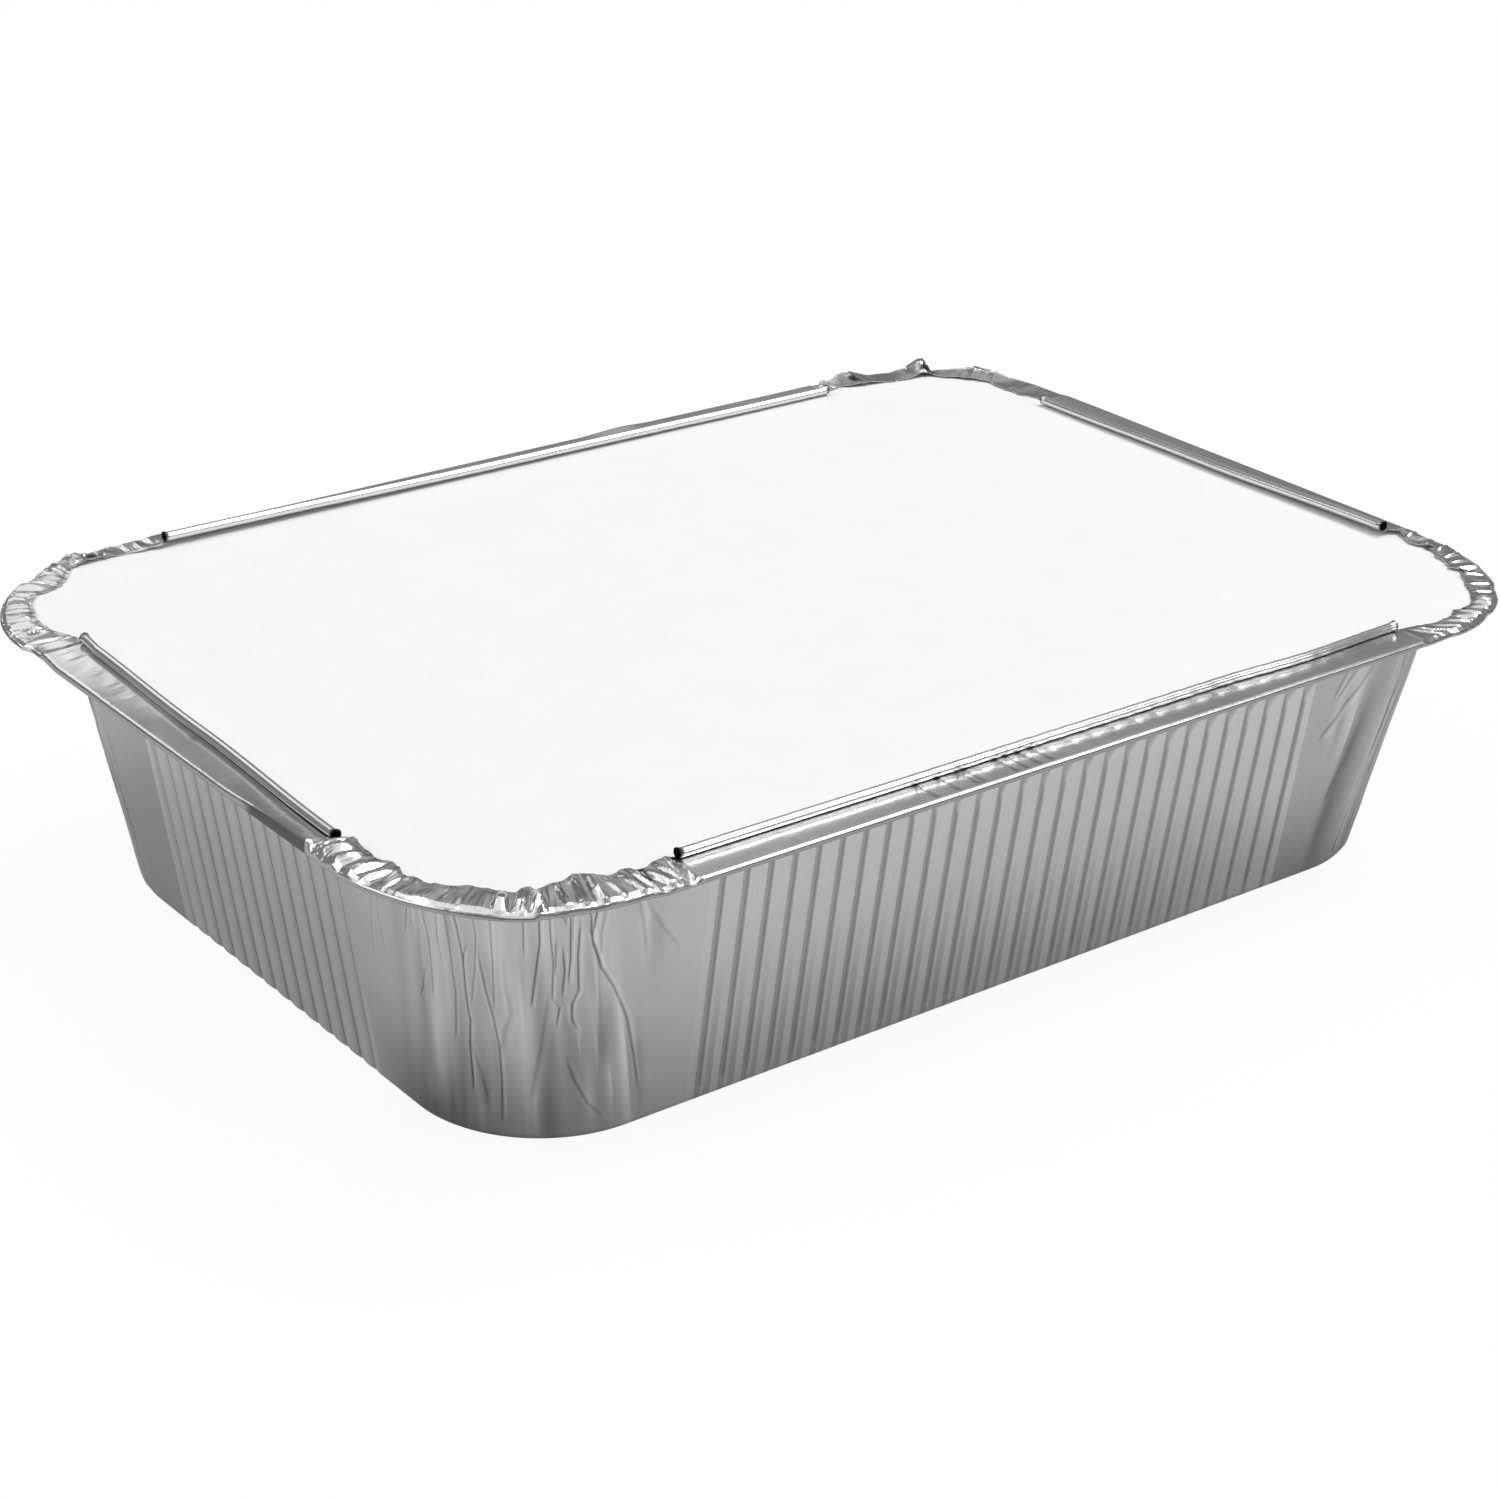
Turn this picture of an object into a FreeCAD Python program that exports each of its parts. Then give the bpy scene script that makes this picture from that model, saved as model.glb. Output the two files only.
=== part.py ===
import FreeCAD, Part
import math
import os
from FreeCAD import Vector

# Oblong foil food tray with a white card lid closed in under its folded rim.
# Millimetres, +Z up, origin in the middle of the base's underside, +X along the long side,
# the long front wall faces -Y.

# Foil tray, overall
RIM_LENGTH = 215.0          # across the folded rim, long way
RIM_WIDTH = 155.5           # across the folded rim, short way
SHELF_HEIGHT = 45.5         # top of the ledge that the lid lies on, above the table
RIM_CORNER_RADIUS = 29.3
FOIL = 0.10                 # thickness of the sheet

# Wall and base
SHELF_WIDTH = 9.5           # from the rim's outer line to the top of the wall
WALL_TAPER = 7.0            # how far the wall leans in from its top to the base
WALL_TOP_RADIUS = 20.6
BASE_CORNER_RADIUS = 21.7

# Pressed flutes of the straight walls
FLUTE_PITCH = 4.25
FLUTE_DEPTH = 0.45
GROOVE_MOUTH = 1.15
GROOVE_FLOOR = 0.60
PLAIN_PANEL = 11.0          # least smooth wall between the last groove and a corner

# Gathers of the rounded wall corners, deepest at the top and gone at the base
GATHER_PITCH = 2.9
GATHER_DEPTH = 0.35

# Rim: it rises past the lid, folds in over it and ends in a rolled bead
FOLD_OVER_CARD = 0.35       # height of the fold above the card's top face
BEAD_RADIUS = 0.78
BEAD_TURN = 315.0           # degrees that the sheet rolls round
BEAD_STEPS = 9
SLIT = 0.7                  # open notch between a rolled stretch and the crimped corner beside it

# Crimped corners, where the rim is pressed flat onto the lid in pleats
PLEAT_PITCH = 4.4
PLEAT_DEPTH = 0.45          # how far every second pleat line stands in from the rim's outer line
PLEAT_RIDGE_IN = 1.3        # from the outer line to the top of the pleats
RIDGE_WAVE = 0.2            # how much one pleat is higher than the next
CRIMP_RAGGED = 0.4          # how far the inner edge wanders in and out

# Card lid
CARD = 0.5                  # thickness of the card, which lies on the ledge
LID_EDGE_GAP = 1.0          # between the card's edge and the rim's outer line
LID_PLAY = 0.06             # between the card's face and the foil that is folded over it


class RolledSide:
    """One straight stretch of rim with its bead, run anticlockwise seen from above."""

    def __init__(self, start_margin, end_margin, start_reach, end_reach, start_lift, end_lift):
        self.start_margin = start_margin    # bead's start after the corner's arc
        self.end_margin = end_margin        # bead's end before the next arc
        self.start_reach = start_reach      # outer line to the bead's centre, at the start
        self.end_reach = end_reach
        self.start_lift = start_lift        # bead's height over the card, at the start
        self.end_lift = end_lift


class CrimpedCorner:
    """One corner of the rim, pressed flat over the card; heights are above the card's top face."""

    def __init__(self, shoulder_up, ridge_up, reach, edge_up, peak_up):
        self.shoulder_up = shoulder_up      # outer fold of the pleats
        self.ridge_up = ridge_up            # their top
        self.reach = reach                  # outer line to the ragged inner edge
        self.edge_up = edge_up              # inner edge
        self.peak_up = peak_up              # tip of the one pleat that stands up in the middle


# In order round the rim: front, right, back and left, and the corner that follows each
SIDES = [
    RolledSide(10.0, 6.5, 6.6, 6.4, 0.30, 0.10),
    RolledSide(7.5, 4.2, 5.6, 7.0, 0.80, 0.20),
    RolledSide(7.8, 8.7, 5.6, 5.0, 0.10, 0.80),
    RolledSide(7.0, 9.0, 7.2, 4.9, 0.60, 0.10),
]
CORNERS = [
    CrimpedCorner(FOLD_OVER_CARD, 0.8, 3.8, LID_PLAY, 0.8),
    CrimpedCorner(0.9, 1.6, 4.2, LID_PLAY, 3.0),
    CrimpedCorner(FOLD_OVER_CARD, 0.9, 5.6, LID_PLAY, 0.9),
    CrimpedCorner(0.7, 1.4, 6.0, 0.8, 1.4),
]


def quarter(vector, turns):
    """The vector turned by whole quarter turns about the upright axis."""
    x, y = vector.x, vector.y
    for _ in range(turns % 4):
        x, y = -y, x
    return Vector(x, y, vector.z)


def polygon(points):
    """Flat face inside a closed line of points."""
    return Part.Face(Part.makePolygon(points + [points[0]]))


def facet(first, second, third, fourth):
    """Four-sided facet, as one flat face, or as two triangles where its corners are not level."""
    across = (third - first).cross(fourth - second)
    twist = abs((second - first).dot(across)) / across.Length
    if twist < 1e-7:
        return [polygon([first, second, third, fourth])]
    return [polygon([first, second, third]), polygon([first, third, fourth])]


def closed_band(lower, upper):
    """Facets between two closed lines that have their points in pairs."""
    faces = []
    for here in range(len(lower)):
        after = (here + 1) % len(lower)
        faces += facet(lower[here], lower[after], upper[after], upper[here])
    return faces


def groove_profile(straight, inset):
    """Points (along, depth) of the grooves on one straight wall, centred on its length."""
    usable = straight - 2 * PLAIN_PANEL
    count = max(0, int(usable / FLUTE_PITCH) + 1)
    flank_angle = math.atan2(FLUTE_DEPTH, (GROOVE_MOUTH - GROOVE_FLOOR) / 2)
    widen = inset * math.tan(flank_angle / 2)
    mouth = GROOVE_MOUTH / 2 + widen
    floor = GROOVE_FLOOR / 2 + widen
    points = []
    for number in range(count):
        centre = (number - (count - 1) / 2) * FLUTE_PITCH
        points.append((centre - mouth, 0))
        points.append((centre - floor, FLUTE_DEPTH))
        points.append((centre + floor, FLUTE_DEPTH))
        points.append((centre + mouth, 0))
    return points


def wall_outline(height, half_length, half_width, radius, gather_depth, inset):
    """One closed turn of the wall at one height: fluted sides and gathered corners.

    inset moves the line in by the sheet's thickness, for the inner face."""
    base_half_length = RIM_LENGTH / 2 - SHELF_WIDTH - WALL_TAPER
    base_half_width = RIM_WIDTH / 2 - SHELF_WIDTH - WALL_TAPER
    gathers = max(2, round(math.pi / 2 * WALL_TOP_RADIUS / GATHER_PITCH))
    points = []
    for side in range(4):
        along_half = half_length if side % 2 == 0 else half_width
        out_half = half_width if side % 2 == 0 else half_length
        base_along_half = base_half_length if side % 2 == 0 else base_half_width
        straight = 2 * (base_along_half - BASE_CORNER_RADIUS)
        for along, depth in groove_profile(straight, inset):
            points.append(quarter(Vector(along, -(out_half - inset - depth), height), side))
        centre = Vector(along_half - radius, -(out_half - radius), height)
        for step in range(2 * gathers + 1):
            angle = math.radians(-90 + 45 * step / gathers)
            reach = radius - inset - gather_depth * (step % 2)
            spot = centre + Vector(reach * math.cos(angle), reach * math.sin(angle), 0)
            points.append(quarter(spot, side))
    return points


def wall_lines(inset, rise):
    """Bottom and top lines of one face of the wall, moved in and up by the sheet's thickness."""
    top_half_length = RIM_LENGTH / 2 - SHELF_WIDTH
    top_half_width = RIM_WIDTH / 2 - SHELF_WIDTH
    bottom = wall_outline(rise, top_half_length - WALL_TAPER, top_half_width - WALL_TAPER,
                          BASE_CORNER_RADIUS, 0, inset)
    top = wall_outline(SHELF_HEIGHT - FOIL + rise, top_half_length, top_half_width,
                       WALL_TOP_RADIUS, GATHER_DEPTH, inset)
    return bottom, top


def rim_straight(side):
    """Length of the straight part of the rim on one side."""
    overall = RIM_LENGTH if side % 2 == 0 else RIM_WIDTH
    return overall - 2 * RIM_CORNER_RADIUS


RIM_ARC = math.pi / 2 * RIM_CORNER_RADIUS


def side_start(side):
    """Distance along the rim's outer line at which a side's straight part starts."""
    return sum(rim_straight(earlier) + RIM_ARC for earlier in range(side))


def rim_place(distance):
    """Point on the rim's outer line at the ledge's top face, and the direction inwards there."""
    distance %= side_start(4)
    side = 0
    while distance > rim_straight(side) + RIM_ARC:
        distance -= rim_straight(side) + RIM_ARC
        side += 1
    straight = rim_straight(side)
    out_half = (RIM_WIDTH if side % 2 == 0 else RIM_LENGTH) / 2
    if distance <= straight:
        spot = Vector(distance - straight / 2, -out_half, SHELF_HEIGHT)
        inward = Vector(0, 1, 0)
    else:
        angle = (distance - straight) / RIM_CORNER_RADIUS
        inward = Vector(-math.sin(angle), math.cos(angle), 0)
        centre = Vector(straight / 2, -out_half + RIM_CORNER_RADIUS, SHELF_HEIGHT)
        spot = centre - inward * RIM_CORNER_RADIUS
    return quarter(spot, side), quarter(inward, side)


def left_offset(path, distance):
    """The path moved to its left by a distance, with mitred corners."""
    moved = []
    for index, (x, y) in enumerate(path):
        normals = []
        for first, second in ((index - 1, index), (index, index + 1)):
            if first >= 0 and second < len(path):
                dx = path[second][0] - path[first][0]
                dy = path[second][1] - path[first][1]
                length = math.hypot(dx, dy)
                normals.append((-dy / length, dx / length))
        nx = sum(normal[0] for normal in normals) / len(normals)
        ny = sum(normal[1] for normal in normals) / len(normals)
        scale = distance / (nx * nx + ny * ny)
        moved.append((x + nx * scale, y + ny * scale))
    return moved


def rolled_path(reach, lift):
    """Inner face of the rim with its bead, as (inwards, up) from the ledge's outer top edge."""
    fold_up = CARD + FOLD_OVER_CARD
    centre_up = CARD + LID_PLAY + BEAD_RADIUS + lift
    run = reach - FOIL
    climb = centre_up - fold_up
    slope = math.atan2(climb, run) - math.asin(BEAD_RADIUS / math.hypot(run, climb))
    path = [(FOIL, 0), (FOIL, fold_up)]
    for step in range(BEAD_STEPS + 1):
        angle = slope - math.pi / 2 + math.radians(BEAD_TURN) * step / BEAD_STEPS
        path.append((reach + BEAD_RADIUS * math.cos(angle), centre_up + BEAD_RADIUS * math.sin(angle)))
    return path


def crimped_path(corner, station, last):
    """Inner face of the rim at one pleat line of a crimped corner.

    Every second line stands in, and slow waves along the corner make no two pleats alike."""
    inner_line = station % 2 if 0 < station < last else 0
    wave = math.sin(2.4 * station)
    ragged = math.sin(1.7 * station + 0.8)
    shoulder_in = FOIL + PLEAT_DEPTH * inner_line * (1 + 0.3 * wave)
    ridge_up = corner.ridge_up + RIDGE_WAVE * (wave - inner_line)
    if station == last // 2:
        ridge_up = corner.peak_up
    return [
        (FOIL, 0),
        (shoulder_in, CARD + corner.shoulder_up),
        (PLEAT_RIDGE_IN, CARD + ridge_up),
        (corner.reach + CRIMP_RAGGED * ragged, CARD + corner.edge_up),
    ]


def rim_runs():
    """Stretches of rim in order, each as a list of (distance along the rim, inner path)."""
    runs = []
    for side, rolled in enumerate(SIDES):
        begin = side_start(side) + rolled.start_margin
        end = side_start(side) + rim_straight(side) - rolled.end_margin
        runs.append([
            (begin, rolled_path(rolled.start_reach, rolled.start_lift)),
            (end, rolled_path(rolled.end_reach, rolled.end_lift)),
        ])
        following = SIDES[(side + 1) % 4]
        begin = end + SLIT
        end = side_start(side + 1) + following.start_margin - SLIT
        last = 2 * max(2, round((end - begin) / PLEAT_PITCH))
        runs.append([
            (begin + (end - begin) * station / last, crimped_path(CORNERS[side], station, last))
            for station in range(last + 1)
        ])
    return runs


def in_space(distance, path):
    """A rim section's (inwards, up) points placed on the rim."""
    spot, inward = rim_place(distance)
    return [spot + inward * along + Vector(0, 0, up) for along, up in path]


def rim_faces():
    """Faces of the whole rim, and the ledge's outer lines below and above that they end on."""
    faces = []
    under_line = []
    upper_line = []
    runs = rim_runs()
    for number, run in enumerate(runs):
        inner_lines = []
        outer_lines = []
        for distance, path in run:
            inner_lines.append(in_space(distance, path))
            outer_lines.append(in_space(distance, [(0, -FOIL)] + left_offset(path, FOIL)))
        for here in range(len(run) - 1):
            for lines in (inner_lines, outer_lines):
                for row in range(len(lines[here]) - 1):
                    faces += facet(lines[here][row], lines[here + 1][row],
                                   lines[here + 1][row + 1], lines[here][row + 1])
            faces += facet(inner_lines[here][-1], inner_lines[here + 1][-1],
                           outer_lines[here + 1][-1], outer_lines[here][-1])
        for end in (0, -1):
            faces.append(polygon(outer_lines[end][1:] + inner_lines[end][::-1]))
        under_line += [line[0] for line in outer_lines]
        upper_line += [outer_lines[0][1]] + [line[0] for line in inner_lines] + [outer_lines[-1][1]]
        next_distance = runs[(number + 1) % len(runs)][0][0]
        notch = in_space(next_distance, [(0, -FOIL), (0, 0)])
        faces += facet(outer_lines[-1][0], notch[0], notch[1], outer_lines[-1][1])
    return faces, under_line, upper_line


def ledge(outer_line, inner_line):
    """Flat ring between the rim's line and the wall's top line."""
    outside = polygon(outer_line)
    inside = polygon(inner_line)
    return outside.cut(inside).Faces[0]


def foil_tray():
    """The whole tray as one sheet: base, fluted wall, ledge and folded rim."""
    outer_bottom, outer_top = wall_lines(0, 0)
    inner_bottom, inner_top = wall_lines(FOIL, FOIL)
    faces, under_line, upper_line = rim_faces()
    faces += closed_band(outer_bottom, outer_top)
    faces += closed_band(inner_bottom, inner_top)
    faces.append(polygon(outer_bottom))
    faces.append(polygon(inner_bottom))
    faces.append(ledge(under_line, outer_top))
    faces.append(ledge(upper_line, inner_top))
    solid = Part.makeSolid(Part.makeShell(faces))
    if solid.Volume < 0:
        solid.reverse()
    return solid


def card_lid():
    """Flat card with rounded corners, lying on the ledge inside the rim."""
    length = RIM_LENGTH - 2 * LID_EDGE_GAP
    width = RIM_WIDTH - 2 * LID_EDGE_GAP
    corner = Vector(-length / 2, -width / 2, SHELF_HEIGHT)
    card = Part.makeBox(length, width, CARD, corner)
    upright = [edge for edge in card.Edges if abs(edge.tangentAt(edge.FirstParameter).z) > 0.9]
    return card.makeFillet(RIM_CORNER_RADIUS - LID_EDGE_GAP, upright)


os.makedirs("parts", exist_ok=True)
foil_tray().exportStep("parts/foil_tray.step")
card_lid().exportStep("parts/card_lid.step")
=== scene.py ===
import math

import bpy
import numpy as np
from mathutils import Matrix, Vector


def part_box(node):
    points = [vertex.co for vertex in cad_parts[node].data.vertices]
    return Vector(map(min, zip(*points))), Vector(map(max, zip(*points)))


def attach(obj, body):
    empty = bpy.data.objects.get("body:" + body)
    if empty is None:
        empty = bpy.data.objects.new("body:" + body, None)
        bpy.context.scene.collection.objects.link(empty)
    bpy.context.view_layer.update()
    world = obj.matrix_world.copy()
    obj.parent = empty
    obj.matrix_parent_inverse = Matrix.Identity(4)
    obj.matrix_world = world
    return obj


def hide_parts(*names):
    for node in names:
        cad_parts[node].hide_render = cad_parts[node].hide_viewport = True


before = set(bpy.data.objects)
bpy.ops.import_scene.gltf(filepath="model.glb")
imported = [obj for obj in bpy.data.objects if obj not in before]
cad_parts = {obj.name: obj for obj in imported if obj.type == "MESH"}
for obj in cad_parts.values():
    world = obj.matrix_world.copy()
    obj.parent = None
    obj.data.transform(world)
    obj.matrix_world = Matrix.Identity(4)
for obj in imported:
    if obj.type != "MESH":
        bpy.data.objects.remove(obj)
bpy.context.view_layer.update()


# Camera
# The tray is seen over its near corner, from a little above and with the long front wall to the right.
CAMERA_AZIMUTH = math.radians(-37.394)
CAMERA_ELEVATION = math.radians(24.764)
CAMERA_ROLL = math.radians(0.898)
CAMERA_DISTANCE = 0.536385
CAMERA_AIM = Vector((-0.00192, -0.00023, 0.01818))
CAMERA_LENS = 77.85
SENSOR_WIDTH = 36

back = Vector((math.sin(CAMERA_AZIMUTH) * math.cos(CAMERA_ELEVATION),
               -math.cos(CAMERA_AZIMUTH) * math.cos(CAMERA_ELEVATION),
               math.sin(CAMERA_ELEVATION)))
level_right = Vector((math.cos(CAMERA_AZIMUTH), math.sin(CAMERA_AZIMUTH), 0))
level_up = back.cross(level_right)
right = level_right * math.cos(CAMERA_ROLL) + level_up * math.sin(CAMERA_ROLL)
up = level_up * math.cos(CAMERA_ROLL) - level_right * math.sin(CAMERA_ROLL)
camera_data = bpy.data.cameras.new("camera")
camera_data.sensor_width = SENSOR_WIDTH
camera_data.lens = CAMERA_LENS
camera_data.clip_start = 0.01
camera_data.clip_end = 20
camera = bpy.data.objects.new("camera", camera_data)
bpy.context.scene.collection.objects.link(camera)
camera.matrix_world = Matrix.Translation(CAMERA_AIM + back * CAMERA_DISTANCE) @ Matrix(
    (right, up, back)).transposed().to_4x4()
bpy.context.scene.camera = camera


# Studio: table and surroundings
# A plain white table top and white room. The eye and the foil's reflections meet them as white, and
# the table still takes the tray's soft shadow.
TABLE_REACH = 4.0
TABLE_UP = -0.0001          # a hair under the tray's base
TABLE_GREY = 0.62
TABLE_WHITE_TO_EYE = 0.93
TABLE_WHITE_TO_FOIL = 0.10

table_mesh = bpy.data.meshes.new("table")
table_mesh.from_pydata([(-TABLE_REACH, -TABLE_REACH, TABLE_UP), (TABLE_REACH, -TABLE_REACH, TABLE_UP),
                        (TABLE_REACH, TABLE_REACH, TABLE_UP), (-TABLE_REACH, TABLE_REACH, TABLE_UP)],
                       [], [(0, 1, 2, 3)])
table = bpy.data.objects.new("table", table_mesh)
bpy.context.scene.collection.objects.link(table)


def shader_node(tree, kind, **values):
    """New node of a material or of the room, with the values of its inputs by name."""
    made = tree.nodes.new("ShaderNode" + kind)
    for name, value in values.items():
        made.inputs[name.replace("_", " ")].default_value = value
    return made


table_paint = bpy.data.materials.new("table_paint")
table_paint.use_nodes = True
tree = table_paint.node_tree
tree.nodes.clear()
out = shader_node(tree, "OutputMaterial")
paint = shader_node(tree, "BsdfDiffuse")
table_tone = shader_node(tree, "MapRange", To_Min=TABLE_GREY, To_Max=1.0)
white = shader_node(tree, "Emission", Strength=1.0)
path = shader_node(tree, "LightPath")
to_eye = shader_node(tree, "Math")
to_eye.operation = "MULTIPLY"
to_eye.inputs[1].default_value = TABLE_WHITE_TO_EYE
to_foil = shader_node(tree, "Math")
to_foil.operation = "MULTIPLY_ADD"
to_foil.inputs[1].default_value = TABLE_WHITE_TO_FOIL
share = shader_node(tree, "MixShader")
tree.links.new(path.outputs["Is Camera Ray"], table_tone.inputs["Value"])
tree.links.new(table_tone.outputs[0], paint.inputs["Color"])
tree.links.new(path.outputs["Is Camera Ray"], to_eye.inputs[0])
tree.links.new(path.outputs["Is Glossy Ray"], to_foil.inputs[0])
tree.links.new(to_eye.outputs[0], to_foil.inputs[2])
tree.links.new(to_foil.outputs[0], share.inputs["Fac"])
tree.links.new(paint.outputs[0], share.inputs[1])
tree.links.new(white.outputs[0], share.inputs[2])
tree.links.new(share.outputs[0], out.inputs["Surface"])
table_mesh.materials.append(table_paint)

ROOM_DIM = 0.20
ROOM_RIGHT = 0.31
ROOM_CEILING = 0.98

world = bpy.data.worlds.new("room")
bpy.context.scene.world = world
world.use_nodes = True
tree = world.node_tree
tree.nodes.clear()
out = shader_node(tree, "OutputWorld")
room = shader_node(tree, "Background", Color=(1, 1, 1, 1))
direction = shader_node(tree, "TexCoord")
parts = shader_node(tree, "SeparateXYZ")


def rising(source, low, high, least, most):
    """Map Range node: least below low, most above high, and the smooth step between."""
    step = shader_node(tree, "MapRange", From_Min=low, From_Max=high, To_Min=least, To_Max=most)
    step.interpolation_type = "SMOOTHSTEP"
    tree.links.new(source, step.inputs["Value"])
    return step.outputs[0]


# the room is bright on the right above 20 degrees and overhead, and dim elsewhere
tree.links.new(direction.outputs["Generated"], parts.inputs[0])
upper = rising(parts.outputs["Z"], 0.34, 0.48, 0.0, 1.0)
righter = rising(parts.outputs["X"], 0.20, 0.60, 0.0, ROOM_RIGHT)
rightmost = rising(parts.outputs["X"], 0.62, 0.75, 1.0, 0.0)
ceiling = rising(parts.outputs["Z"], 0.76, 0.90, ROOM_DIM, ROOM_CEILING)
between = shader_node(tree, "Math")
between.operation = "MULTIPLY"
tree.links.new(righter, between.inputs[0])
tree.links.new(rightmost, between.inputs[1])
brightness = shader_node(tree, "Math")
brightness.operation = "MULTIPLY_ADD"
tree.links.new(upper, brightness.inputs[0])
tree.links.new(between.outputs[0], brightness.inputs[1])
tree.links.new(ceiling, brightness.inputs[2])
seen = shader_node(tree, "Background", Color=(1, 1, 1, 1))
path = shader_node(tree, "LightPath")
share = shader_node(tree, "MixShader")
tree.links.new(brightness.outputs[0], room.inputs["Strength"])
tree.links.new(path.outputs["Is Camera Ray"], share.inputs["Fac"])
tree.links.new(room.outputs[0], share.inputs[1])
tree.links.new(seen.outputs[0], share.inputs[2])
tree.links.new(share.outputs[0], out.inputs["Surface"])


LAMP_AIM = (0, 0, 0.04)


def soft_box(name, place, width, height, watts):
    """Rectangular lamp at a place, turned to face the tray's top, all in metres."""
    lamp = bpy.data.lights.new(name, "AREA")
    lamp.shape = "RECTANGLE"
    lamp.size = width
    lamp.size_y = height
    lamp.energy = watts
    box = bpy.data.objects.new(name, lamp)
    bpy.context.scene.collection.objects.link(box)
    box.location = place
    box.rotation_euler = (Vector(LAMP_AIM) - Vector(place)).to_track_quat("-Z", "Y").to_euler()


soft_box("right_lamp", (0.90, -0.20, 1.84), 1.00, 0.80, 17.5)
soft_box("front_lamp", (1.10, -1.50, 1.00), 0.80, 0.50, 4.6)
soft_box("back_lamp", (-0.05, 0.88, 0.66), 0.50, 0.22, 0.35)
soft_box("left_lamp", (-1.20, 0.45, 1.10), 1.40, 1.00, 5.8)
soft_box("rear_lamp", (0.23, 1.08, 0.56), 0.24, 0.18, 0.13)


# Foil tray: base
# One pressed sheet of soft aluminium makes the whole tray. Its base is flat and stands on the table,
# and its outline is scalloped where the wall's flutes run down to it.
tray_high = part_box("foil_tray")[1] * 1000
card_low, card_high = (corner * 1000 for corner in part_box("card_lid"))
RIM_HALF_LONG = tray_high.x
RIM_HALF_WIDE = tray_high.y
RIM_RADIUS = 29.3
SHELF = card_low.z
CARD_TOP = card_high.z - card_low.z
SHELF_WIDTH = 9.5
WALL_TAPER = 7.0
WALL_TOP_RADIUS = 20.6
BASE_RADIUS = 21.7
BASE_EDGE_RADIUS = 1.1
FOIL = 0.09
FLUTE_PITCH = 4.25
# on a long side and on a short one: grooves, and half of the stretch that they take
FLUTES = {0: 28, 1: 14}
FLUTED_HALF = {0: FLUTES[0] * FLUTE_PITCH / 2, 1: FLUTES[1] * FLUTE_PITCH / 2}


def outline(side, along, turn, half_long, half_wide, radius):
    """Point and outward direction on a rounded rectangle, seen from above, in mm.

    side counts quarter turns from the front. along runs on its straight part from the middle, and
    turn is the angle gone round the corner that follows. The corner's centre plus radius times
    (sin turn, -cos turn) is the point, turned by side times 90 degrees."""
    out_half = np.where(side % 2 == 0, half_wide, half_long)
    x = along + radius * np.sin(turn)
    y = -(out_half - radius) - radius * np.cos(turn)
    cos_side = np.cos(side * np.pi / 2)
    sin_side = np.sin(side * np.pi / 2)
    point = np.stack([x * cos_side - y * sin_side, x * sin_side + y * cos_side], -1)
    outward = np.stack([np.sin(turn) * cos_side + np.cos(turn) * sin_side,
                        np.sin(turn) * sin_side - np.cos(turn) * cos_side], -1)
    return point, outward


def ring(u, half_long, half_wide, radius):
    """Along, turn, point and outward direction at u on a rounded rectangle.

    u grows by 1 a side: 0 to 1/4 is smooth wall, to 1/2 the flutes, to 3/4 smooth wall, and to 1 the
    corner. The flutes keep their length on every ring and the smooth wall takes up the rest."""
    side = np.floor(u + 1e-9)
    w = u - side
    straight = np.where(side % 2 == 0, half_long, half_wide) - radius
    fluted = np.where(side % 2 == 0, FLUTED_HALF[0], FLUTED_HALF[1])
    plain = np.interp(w, [0, 0.25, 0.5, 0.75], [-1, 0, 0, 1])
    flute = np.interp(w, [0, 0.25, 0.5, 0.75], [-1, -1, 1, 1])
    along = flute * fluted + plain * (straight - fluted)
    turn = np.clip(w * 4 - 3, 0, 1) * np.pi / 2
    point, outward = outline(side, along, turn, half_long, half_wide, radius)
    return along, turn, point, outward


def wall_ring(u, level):
    """The smooth wall's ring at a level from 0 at the base to 1 at the ledge."""
    top_half_long = RIM_HALF_LONG - SHELF_WIDTH
    top_half_wide = RIM_HALF_WIDE - SHELF_WIDTH
    shrink = WALL_TAPER * (1 - level)
    radius = BASE_RADIUS + (WALL_TOP_RADIUS - BASE_RADIUS) * level
    return ring(u, top_half_long - shrink, top_half_wide - shrink, radius)


FLUTE_DEPTH = 0.45
GROOVE_FLOOR = 0.80
GROOVE_MOUTH = 1.35
MOUTH_OPENS = 1.7           # how much wider a long side's groove gets under the ledge
BURR = 0.05
BURR_PLACE = 0.95           # from the groove's middle
RIB_CROWN = {0: 0.05, 1: 0.32}
GROOVE_DARK = 0.38          # painted shade in a long side's groove
RIB_DARK = 0.32             # and painted shade on the lower half of the rib beside it


def smooth_step(x):
    """0 below 0, 1 above 1, and 3x^2 - 2x^3 between."""
    x = np.clip(x, 0, 1)
    return x * x * (3 - 2 * x)


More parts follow.
